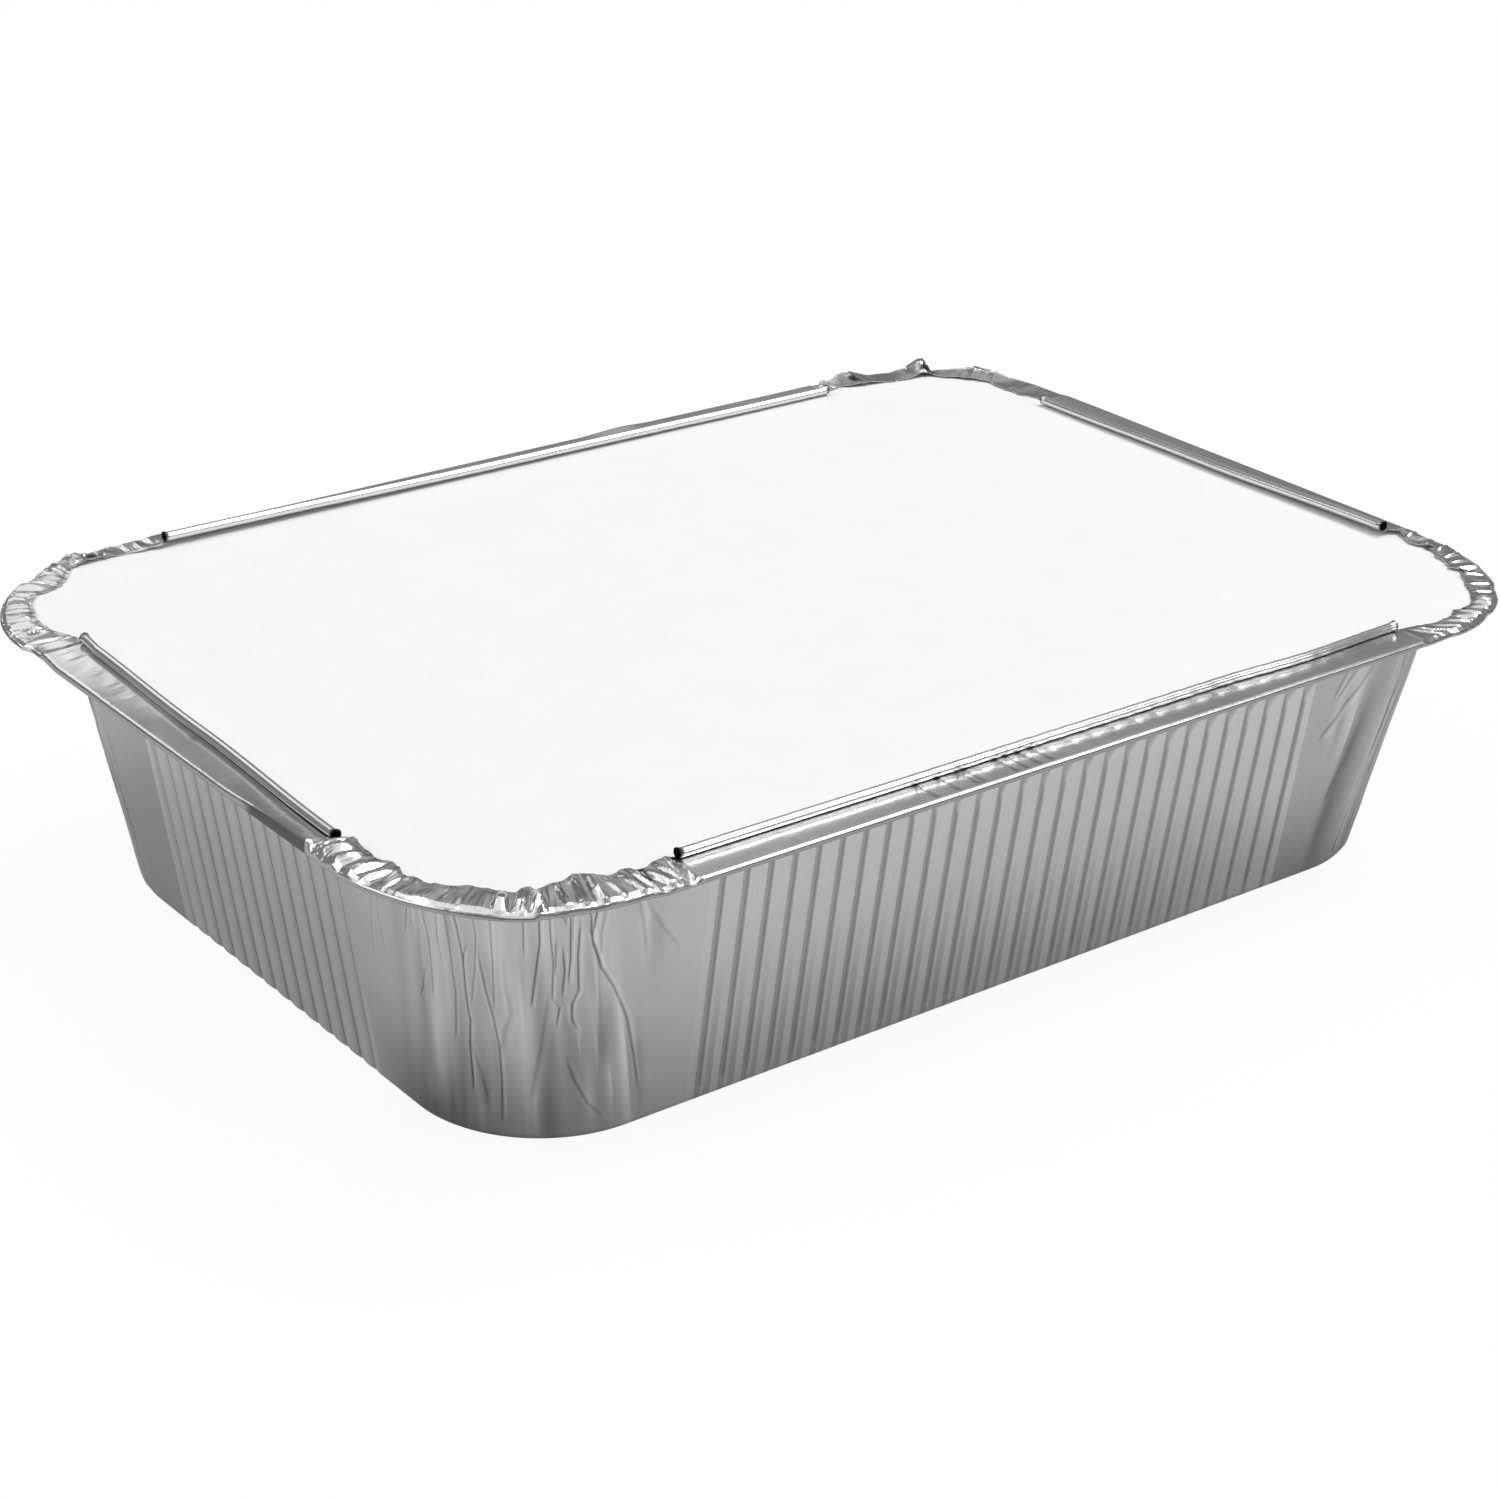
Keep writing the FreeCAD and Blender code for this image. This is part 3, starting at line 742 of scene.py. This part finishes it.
# places along the front side where the closing tool's end has nicked lip and bead, half width of a
# nick, and how dark the painted shade in it is on the lip, on the bead's top and on its outer face
NICKS = (51.2, 55.3, 58.9, 60.1, 66.2, 68.1, 70.5, 72.9)
NICK_HALF_WIDTH = 0.34
NICKED = ((slice(LIP.start + 2, LIP.stop), 0.45), (slice(BEAD.start + 15, BEAD.start + 24), 0.2),
          (slice(BEAD.start + 24, BEAD.start + 35), 0.55))
# painted shade on the fold's lowest nine rows
FOLD_DARK = np.array([0.4, 0.4, 0.4, 0.4, 0.45, 0.5, 0.5, 0.35, 0.1])
# for each side: the rolled stretch's margins at its start and end, and as (mm along the side, mm) the
# bead's reach from the rim's outer line, its lift off the card, and the fold's height
ROLLED = [
    dict(start=10.0, end=6.5, reach=[(10, 6.6), (60, 6.5), (112, 6.4), (130, 5.8), (150, 6.4)],
         lift=[(10, 0.30), (80, 0.15), (150, 0.10)], fold=[(10, 0.85), (150, 0.85)]),
    dict(start=7.5, end=4.2, reach=[(7.5, 5.6), (50, 6.6), (93, 7.0)],
         lift=[(7.5, 0.80), (50, 0.40), (93, 0.20)], fold=[(7, 0.85), (93, 0.85)]),
    dict(start=7.8, end=8.7, reach=[(7.8, 5.6), (78, 5.3), (148, 5.0)],
         lift=[(7.8, 0.10), (78, 0.30), (148, 0.80)],
         fold=[(7, 0.85), (45, 0.95), (52, 1.25), (62, 0.9), (148, 0.85)]),
    dict(start=7.0, end=9.0, reach=[(7, 7.2), (48, 6.2), (88, 4.9)],
         lift=[(7, 0.60), (48, 0.30), (88, 0.10)], fold=[(7, 0.85), (63, 0.85), (85, 2.05), (88, 2.2)]),
]


def curve(x, knots):
    """Value at x between (place, value) knots, eased from one to the next by the smooth step."""
    places, values = np.array(knots, float).T
    at = np.clip(np.searchsorted(places, x, "right") - 1, 0, len(places) - 2)
    share = smooth_step((x - places[at]) / (places[at + 1] - places[at]))
    return values[at] + (values[at + 1] - values[at]) * share


def crumple(along, across, spacing, dice):
    """Height from -1 to 1 of a sheet crumpled into sharp folds that run across it.

    Straight lines join random heights at random places, one line for each long edge of the sheet, and
    the height between the edges is mixed from the two. along may be sheared so that the folds lean."""
    edges = []
    for _ in range(2):
        gaps = dice.uniform(0.4, 1.6, int((along.max() - along.min()) / spacing) + 6) * spacing
        places = along.min() - 2 * spacing + np.cumsum(gaps)
        edges.append(np.interp(along, places, dice.uniform(-1, 1, len(places))))
    return edges[0] * (1 - across) + edges[1] * across


def on_rim(distance, inward, up):
    """Grid of points from a distance along the rim and, row by row, how far in and up they are."""
    point, outward = rim_line(distance)
    flat = point[None] - outward[None] * inward[..., None]
    return np.concatenate([flat, SHELF + up[..., None]], -1)


def folded_edge(fold_up, rows):
    """Rows of the rounded fold, from the ledge up to the lip, inner face.

    Two quarter ellipses that meet upright at an eighth of its height."""
    angle = np.linspace(-np.pi / 2, np.pi / 2, rows + 1)[:-1, None]
    inward = FOIL + FOLD_DEEP * (1 - np.cos(angle)) + 0 * fold_up[None]
    return inward, fold_up[None] * (0.12 + np.where(angle < 0, 0.12, 0.88) * np.sin(angle))


def lip_and_bead(reach, lift, fold_up, relief, bead):
    """Section of the rolled rim, rows by columns, as how far in and up its inner face is.

    A half-round fold, a straight lip from its top that is tangent to the bead below, and the bead,
    whose radius, bead, shrinks slowly after three quarters of a turn. relief is added to the lip's
    height."""
    fold_in = FOIL + FOLD_DEEP
    bead_up = CARD_TOP + LID_PLAY + bead + lift
    run = reach - fold_in
    climb = bead_up - fold_up
    slope = np.arctan2(climb, run) - np.arcsin(bead / np.hypot(run, climb))
    share = np.linspace(0, 1, LIP_ROWS + 1)[:-1, None]
    lip_in = fold_in + (reach + bead * np.sin(slope) - fold_in)[None] * share
    lip_up = fold_up + (bead_up - bead * np.cos(slope) - fold_up)[None] * share + relief
    turned = np.linspace(0, BEAD_TURN, BEAD_ROWS)[:, None]
    angle = slope[None] - np.pi / 2 + turned
    radius = bead - BEAD_TIGHTENS * np.maximum(0, (turned - 1.5 * np.pi) / (0.5 * np.pi))
    fold = folded_edge(fold_up, FOLD_ROWS)
    return (np.concatenate([fold[0], lip_in, reach + radius * np.cos(angle)]),
            np.concatenate([fold[1], lip_up, bead_up + radius * np.sin(angle)]))


def rubbed_and_sheen_patch(place, share):
    """Share of the rubbing, 0 to 1, on the far half of the left lip, which roughens it and lightens its
    colour as a painted highlight.
    """
    middle = np.interp(place, [4, 40], [0.45, 0.85])
    return np.exp(-((share - middle) / 0.26) ** 2) * smooth_step((48 - place) / 12)


def lip_relief(side, place, share, dice):
    """Height in mm added to a lip: long shallow waves, scuffs, and the dents the closing tool left."""
    ends = np.sin(np.pi * share)
    relief = 0.05 * crumple(place, share, 14.0, dice) * ends
    relief = relief + 0.012 * crumple(place, share, 2.5, dice) * ends
    if side == 0:
        window = smooth_step((place - 50) / 12) * smooth_step((128 - place) / 10)
        for nick in NICKS:
            relief = relief - 0.05 * np.exp(-((place - nick) / 0.5) ** 2) * smooth_step(share / 0.5)
        tooth = np.maximum(0, np.cos(2 * np.pi * (place / FLUTE_PITCH + 0.45 * share))) ** 2
        tooth = tooth * (0.6 + 0.5 * crumple(place, share, 5.0, dice))
        relief = relief - 0.09 * tooth * window * smooth_step((share - 0.35) / 0.4) * (1 - share ** 6)
        scuffed = np.exp(-((place - 26) / 24) ** 2) * ends
        relief = relief + 0.05 * crumple(place - 4 * share, share, 1.1, dice) * scuffed
    if side == 3:
        brushed = 0.07 * crumple(place + share, share, 0.6, dice) * ends
        relief = relief + brushed * rubbed_and_sheen_patch(place, share)
        relief = relief - 0.10 * np.exp(-((place - 47) / 1.2) ** 2 - ((share - 0.75) / 0.2) ** 2)
    return relief


for side, name in enumerate(("front", "right", "back", "left")):
    shape = ROLLED[side]
    place = np.linspace(shape["start"], SIDE_RUN[side] - shape["end"],
                        int((SIDE_RUN[side] - shape["start"] - shape["end"]) / ROLLED_STEP))
    share = np.linspace(0, 1, LIP_ROWS + 1)[:-1, None]
    dice = np.random.default_rng(50 + side)
    teeth = np.cos(2 * np.pi * place / FLUTE_PITCH) * (side == 0)
    teeth = teeth * smooth_step((place - 50) / 12) * smooth_step((140 - place) / 8)
    reach = curve(place, shape["reach"]) + 0.02 * teeth + 0.05 * crumple(place, 0, 20.0, dice)
    lift = curve(place, shape["lift"]) + 0.01 * teeth
    fold_up = curve(place, shape["fold"]) + 0.03 * crumple(place, 0, 11.0, dice)
    fold_up = fold_up + 0.02 * (side == 3) * crumple(place, 0, 0.9, dice)
    from_end = np.minimum(place - place[0], place[-1] - place)
    bead = BEAD_RADIUS * (1 + BEAD_FLARE * np.exp(-(from_end / 0.5) ** 2))
    inward, up = lip_and_bead(reach, lift, fold_up, lip_relief(side, place[None], share, dice), bead)
    shade_paint = np.zeros(inward.shape)
    # painted shade on the left side's fold where it stands up near its end, and in the bead's cut ends
    standing = 0.95 * smooth_step((fold_up - 1.0) / 0.4) * (side == 3)
    shade_paint[:len(FOLD_DARK)] = np.maximum(FOLD_DARK[:, None], standing)
    # painted shade in the nicks on lip and bead
    for nick in NICKS:
        nicked = (side == 0) * np.exp(-((place - nick) / NICK_HALF_WIDTH) ** 2)
        for rows, painted_dark in NICKED:
            shade_paint[rows] += painted_dark * nicked
    shade_paint[BEAD] = np.maximum(shade_paint[BEAD], 1.1 * np.exp(-(from_end / 0.4) ** 4))
    # painted highlight: the left lip's colour is lighter over its rubbed patch
    shade_paint[LIP] = shade_paint[LIP] - 0.3 * (side == 3) * rubbed_and_sheen_patch(place[None], share)
    points = on_rim(SIDE_START[side] + place, inward, up)
    rolled = grid_mesh("rolled_rim_" + name, points, -FOIL, shade_paint)
    as_foil(rolled, bright_foil)


# Foil tray: crimped corners of the rim
# At the corners the rim has no bead. It is pressed flat onto the card, and its spare length folds
# into radial pleats with a ragged inner edge. The far corner has one pleat standing up.
CRIMP_STEP = 0.12           # between the grid's columns
CRIMP_ROWS = 28
PRESSED_ROWS = 8            # of the fold at the rim's edge
CLIMB = 0.55                # how far in the pressed fold climbs to its crest
HIGHEST = 3.6               # over the ledge; no pleat stands higher
# painted shade on the pressed fold's rows
PRESSED_DARK = np.interp(np.arange(PRESSED_ROWS), [3, 6, 7], [0.55, 0.3, 0])
# crest: height of the fold over the ledge; reach: inner edge from the rim's outer line; edge: its
# height over the card; all as (mm along the rim, mm). folds: (place on the crest, place on the
# inner edge, half width, height). hollows: (place, share of the way in, half width, depth), each
# also darkened with painted shade. fans: (place, half width, rise) of broad facets that climb
# from the fold, with the painted shade taken off them near it. Then the darkness of all of it,
# from dull foil and painted shade; the painted shade along its hair lines; rough: how much of the
# folds and lumps shows; fine: how much of it is fine; steep: power by which it falls from crest
# to edge; low: how much lower than the crest the fold is pressed
CRIMPED = [
    dict(crest=[(149.9, .85), (153, .85), (158, .95), (163, 1.0), (166, .8), (169, 1.0), (172, .6),
                (176, .8), (181, .5), (186, .65), (189, .9), (192, .6), (195, .75), (199, 1.0),
                (204, 1.1), (208, 1.0), (209.9, .85)],
         reach=[(149.9, 6.4), (153.8, 5.7), (156.8, 4.7), (162.9, 4.5), (165.4, 5.4), (168.2, 4.3),
                (170.2, 3.8), (175.6, 4.6), (184.8, 5.0), (188.5, 4.3), (189.8, 5.7), (193.2, 5.4),
                (197.7, 4.9), (202.1, 3.9), (204.4, 4.7), (208.8, 2.9), (209.9, 4.0)],
         edge=[(149.9, .2), (155, .1), (165, .4), (168, .1), (180, .1), (188, .5), (194, .3),
               (200, .4), (205, .4), (209.9, .8)],
         folds=[(155.5, 151.5, .4, .35), (157.8, 153, .35, .35), (160, 157, .6, .35),
                (163, 160, .7, .45), (165.5, 163, .6, .6), (167.5, 166, .4, .5),
                (170.5, 170, .7, .55), (172.8, 172.5, .5, .5), (175.5, 173.5, 1.3, .5),
                (178.5, 177.5, .5, .3), (182, 181.5, .4, .3), (186, 186, .5, .35),
                (189.5, 189.4, .8, .5), (193, 192, .7, .5), (196, 195, .6, .5),
                (199.5, 198.5, .6, .5), (203, 202, .7, .5), (206.5, 206.5, .5, .5)],
         hollows=[(187.8, .7, .9, .5), (168, .8, .7, .4), (201, .9, .8, .4)],
         painted_streaks=0.15, dull_and_shade=0.15, rough=0.7, fine=0.1, steep=0.9, low=0.4),
    dict(crest=[(295.1, .85), (298, .6), (302, .6), (305.8, .8), (310.2, 1.0), (313.1, 1.8),
                (316.2, 2.1), (317.6, 2.4), (320.3, 1.7), (324.8, 1.05), (326.4, .7), (327.1, 2.1),
                (328.1, 3.5), (329.2, 3.3), (331.6, 1.65), (334.7, .6), (339.2, .6), (342.4, 1.6),
                (344, 2.3), (347, 1.9), (349.8, 1.4), (353.2, .85)],
         reach=[(295.1, 5.8), (298.7, 5.6), (302.7, 6.9), (308.6, 6.2), (314, 4.0), (317.1, 3.9),
                (323.2, 4.0), (326.5, 3.1), (329.2, 3.7), (332.1, 5.3), (336.5, 5.7), (344, 5.6),
                (348.6, 3.6), (353.2, 5.2)],
         edge=[(295, .3), (300, .1), (312, .3), (318, .5), (325, .3), (328, .9), (331, .4), (336, .1),
               (342, .6), (345, .6), (349, .1), (353, .1)],
         folds=[(300, 300, .5, .2), (313.5, 312.8, 1.0, .6), (317.8, 317.6, .5, .3),
                (323, 323, .4, .15), (328.8, 327.6, 1.2, .9), (333, 333, .6, .3), (341, 340, .6, .3),
                (344, 344.5, 1.0, .8), (350, 350, .5, .2)],
         hollows=[(327.3, .42, 1.8, .7), (344.2, .55, 1.3, .7)],
         painted_streaks=0.3, dull_and_shade=0.15, rough=0.35, fine=0.3, steep=0.4, low=0.05),
    dict(crest=[(493, .85), (497, 1.0), (504.3, .7), (506.2, .8), (506.8, 1.2), (508.2, 1.8),
                (510.1, 1.6), (513.8, .6), (517, .5), (521, .6), (522.5, 1.1), (524.5, 1.2),
                (526.7, .6), (530, .8), (532, .5), (536, .75), (539, .5), (542, .8), (544.5, .5),
                (547, .75), (549.7, .5), (551.5, .9), (554.8, .85)],
         reach=[(493, 5.8), (500, 5.0), (507.2, 4.6), (511.2, 4.0), (515.5, 5.7), (520.6, 6.4),
                (524.6, 5.9), (526, 4.8), (529, 4.7), (534.6, 5.6), (539.4, 5.5), (543.1, 6.2),
                (547.8, 6.5), (549, 7.4), (551, 7.2), (554.8, 7.9)],
         edge=[(493, .8), (500, .1), (505, .5), (508, .8), (511, .2), (520, .1), (530, .3), (540, .3),
               (548, .4), (554.8, .6)],
         folds=[(506, 505, .8, .6), (509.5, 510, .8, .5), (513, 513.6, .5, .4), (515, 515, .7, .5),
                (517.8, 517.4, .6, .4), (520.5, 519.5, .5, .4), (524, 523, 1.3, .6),
                (527, 527, .6, .4), (529.5, 529.8, .5, .45), (532, 532.6, .5, .4),
                (534.5, 535, .4, .4), (538, 538.4, .7, .45), (541, 541.6, 1.0, .6),
                (543.5, 544.6, .4, .5), (545, 546.2, .4, .5), (549, 550, .4, .3),
                (551.5, 552.4, 1.0, .7)],
         hollows=[(505.8, .5, 1.3, .7), (554.5, .8, .8, .3)],
         painted_streaks=0.5, dull_and_shade=0.0, rough=1.1, fine=0.4, steep=1.0, low=0.5),
    dict(crest=[(635.7, 2.2), (637.2, 1.4), (638.5, 2.1), (640, 1.3), (642.5, 1.9), (644, 1.1),
                (646.5, 1.5), (649, 1.0), (654, 1.15), (662, 1.2), (668, 1.1), (673, .9), (675, .8),
                (676.2, 1.4), (678, 1.0), (681, 1.35), (684, 1.1), (687, 1.3), (690, 1.0),
                (692.5, 1.3), (694.5, .8), (696.5, 1.25), (698.5, .8), (700.7, .85)],
         reach=[(635.7, 5.8), (637.8, 6.6), (641.1, 5.9), (645.3, 5.5), (647.4, 6.6), (650.2, 6.0),
                (652.5, 4.7), (654, 5.5), (656.7, 4.8), (661.7, 5.6), (665.6, 6.3), (672.7, 5.5),
                (673.5, 6.6), (675.2, 7.1), (675.6, 5.9), (677.5, 6.2), (680, 6.6), (681.8, 7.2),
                (683.3, 7.6), (686.7, 7.0), (689.2, 6.2), (690.8, 6.2), (691.9, 7.0), (693.3, 6.8),
                (693.6, 5.9), (695.4, 6.0), (696.8, 6.5), (698.9, 6.8), (700.7, 6.6)],
         edge=[(635.7, .5), (638, 1.2), (642, 1.2), (646, 1.0), (648, .9), (655, .8), (670, .9),
               (676, 1.0), (680, 1.3), (684, 1.6), (687, 1.3), (690, 1.0), (695, 1.0), (699, 1.2),
               (700.7, .6)],
         folds=[(637, 637.8, .8, .6), (639.5, 640.5, 1.0, .9), (642.5, 643.2, 1.2, .6),
                (646, 646.6, .8, .6), (648.5, 649.6, .6, .4), (652.5, 652.4, .4, .3),
                (673.5, 674.5, .5, .4), (676.5, 675.5, .7, .6), (680, 679.4, .6, .4),
                (682.5, 682.8, .7, .6), (685.5, 685.4, .7, .5), (688.5, 688, .6, .5),
                (691.5, 690.7, .6, .5), (693.6, 692.6, .5, .6), (695.8, 694.6, .6, .6),
                (697.4, 696.4, .5, .7), (699.4, 698.6, .5, 1.0)],
         hollows=[(638.6, .5, .6, .6), (694.2, .8, .5, .4)],
         fans=[(670.5, 1.05, 1.1), (673.3, .75, .9), (675.9, .9, 1.0), (685.2, .9, .6)],
         painted_streaks=0.55, dull_and_shade=0.16, rough=0.95, fine=0.5, steep=1.0, low=0.36),
]


for side, name in enumerate(("right", "far", "left", "near")):
    shape = CRIMPED[side]
    begin = SIDE_START[side] + SIDE_RUN[side] - ROLLED[side]["end"]
    end = SIDE_START[side] + SIDE_RUN[side] + RIM_ARC + ROLLED[(side + 1) % 4]["start"]
    distance = np.linspace(begin, end, int((end - begin) / CRIMP_STEP))
    share = np.linspace(0, 1, CRIMP_ROWS)[:, None]
    dice = np.random.default_rng(30 + side)
    own = smooth_step((distance - begin) / 1.5) * smooth_step((end - distance) / 1.5)
    crest, reach, edge = (np.interp(distance, *np.array(shape[key]).T)
                          for key in ("crest", "reach", "edge"))
    reach = reach + 0.22 * crumple(distance, 0, 1.0, dice) * own
    crest = crest + 0.04 * crumple(distance, 0, 0.8, dice) * own
    # the pressed fold is low at the rim's edge and climbs to its crest a little further in
    low_share = shape["low"] * own
    fold_in, fold_up = folded_edge(crest * (1 - low_share), PRESSED_ROWS)
    inward = FOIL + FOLD_DEEP + (reach - FOIL - FOLD_DEEP)[None] * share
    up = crest + (CARD_TOP + edge - crest)[None] * share ** shape["steep"]
    up = up - low_share * crest * np.clip(1 - (inward - FOIL - FOLD_DEEP) / CLIMB, 0, 1)
    amount = (0.12 + 0.88 * np.sin(np.pi * np.minimum(share * 1.15, 1)) ** 0.7) * own
    lumps = np.zeros(up.shape)
    # crumpled three times over, each time closer and lower, and leaning its own way
    for spacing, height in ((2.2, 0.45), (1.0, 0.20 * shape["fine"]), (0.4, 0.05 * shape["fine"])):
        lean = dice.uniform(-1.0, 1.0)
        lumps = lumps + height * crumple(distance[None] - lean * share, share, spacing, dice)
    # each fold is a ridge with straight flanks, the one after its crest the longer
    for outer_place, inner_place, half_width, height in shape["folds"]:
        off = distance[None] - (outer_place + (inner_place - outer_place) * share)
        off = np.where(off < 0, off / (0.85 * half_width), off / (1.3 * half_width))
        lumps = lumps + height * np.maximum(0, 1 - np.abs(off))
    # painted shade along fine hair lines: a crumple pattern that is only in the colour
    painted_streaks = np.clip(1.6 * crumple(distance[None] - 0.5 * share, share, 0.32, dice) - 0.3, 0, 1)
    shade_paint = (shape["dull_and_shade"] + shape["painted_streaks"] * painted_streaks) * np.minimum(1, 4 * share) * own
    # each hollow is dented and also darkened with painted shade
    for place, way_in, half_width, depth in shape["hollows"]:
        dent = np.exp(-((distance[None] - place) / half_width) ** 4 - ((share - way_in) / 0.3) ** 4)
        lumps = lumps - depth * dent
        shade_paint = np.maximum(shade_paint, 1.2 * dent)
    up = up + shape["rough"] * amount * lumps
    # fans rise and have their painted shade taken off near the fold, so they read light
    for place, half_width, rise in shape.get("fans", ()):
        fan = np.exp(-((distance[None] - place) / (half_width * (1.15 - 0.5 * share))) ** 4)
        up = up + rise * fan * np.minimum(share / 0.4, (1 - share) / 0.6)
        shade_paint = shade_paint * (1 - fan * np.clip(1.8 - 3 * share, 0, 1))
    up = np.maximum(up, (CARD_TOP + LID_PLAY) * smooth_step((inward - 0.4) / 0.5))
    up = np.minimum(up, HIGHEST)
    points = on_rim(distance, np.concatenate([fold_in, inward]), np.concatenate([fold_up, up]))
    shade_paint = np.concatenate([PRESSED_DARK[:, None] + 0 * fold_up, np.clip(shade_paint, 0, 1)])
    crimp = grid_mesh("crimped_corner_" + name, points, -FOIL, shade_paint)
    crimp.data.set_sharp_from_angle(angle=math.radians(16))
    as_foil(crimp, bright_foil)


# Card lid
# A flat sheet of white card with rounded corners, die-cut and uncoated on its outer face. It lies
# loose on the ledge and is held by the rim that is folded over it.
card_white = bpy.data.materials.new("card_white")
card_white.use_nodes = True
tree = card_white.node_tree
shader = tree.nodes["Principled BSDF"]
shader.inputs["Roughness"].default_value = 0.75
coordinates = shader_node(tree, "TexCoord")
fibres = shader_node(tree, "TexNoise", Scale=700.0, Detail=4.0)
mottle = shader_node(tree, "TexNoise", Scale=120.0, Detail=4.0)
tone = shader_node(tree, "MapRange", To_Min=0.90, To_Max=0.95)
press = shader_node(tree, "Bump", Strength=0.15, Distance=0.00005)
tree.links.new(coordinates.outputs["Object"], fibres.inputs["Vector"])
tree.links.new(coordinates.outputs["Object"], mottle.inputs["Vector"])
tree.links.new(mottle.outputs["Fac"], tone.inputs["Value"])
tree.links.new(tone.outputs[0], shader.inputs["Base Color"])
tree.links.new(fibres.outputs["Fac"], press.inputs["Height"])
tree.links.new(press.outputs[0], shader.inputs["Normal"])
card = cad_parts["card_lid"]
card.data.materials.clear()
card.data.materials.append(card_white)


bpy.context.scene.view_settings.view_transform = "Standard"
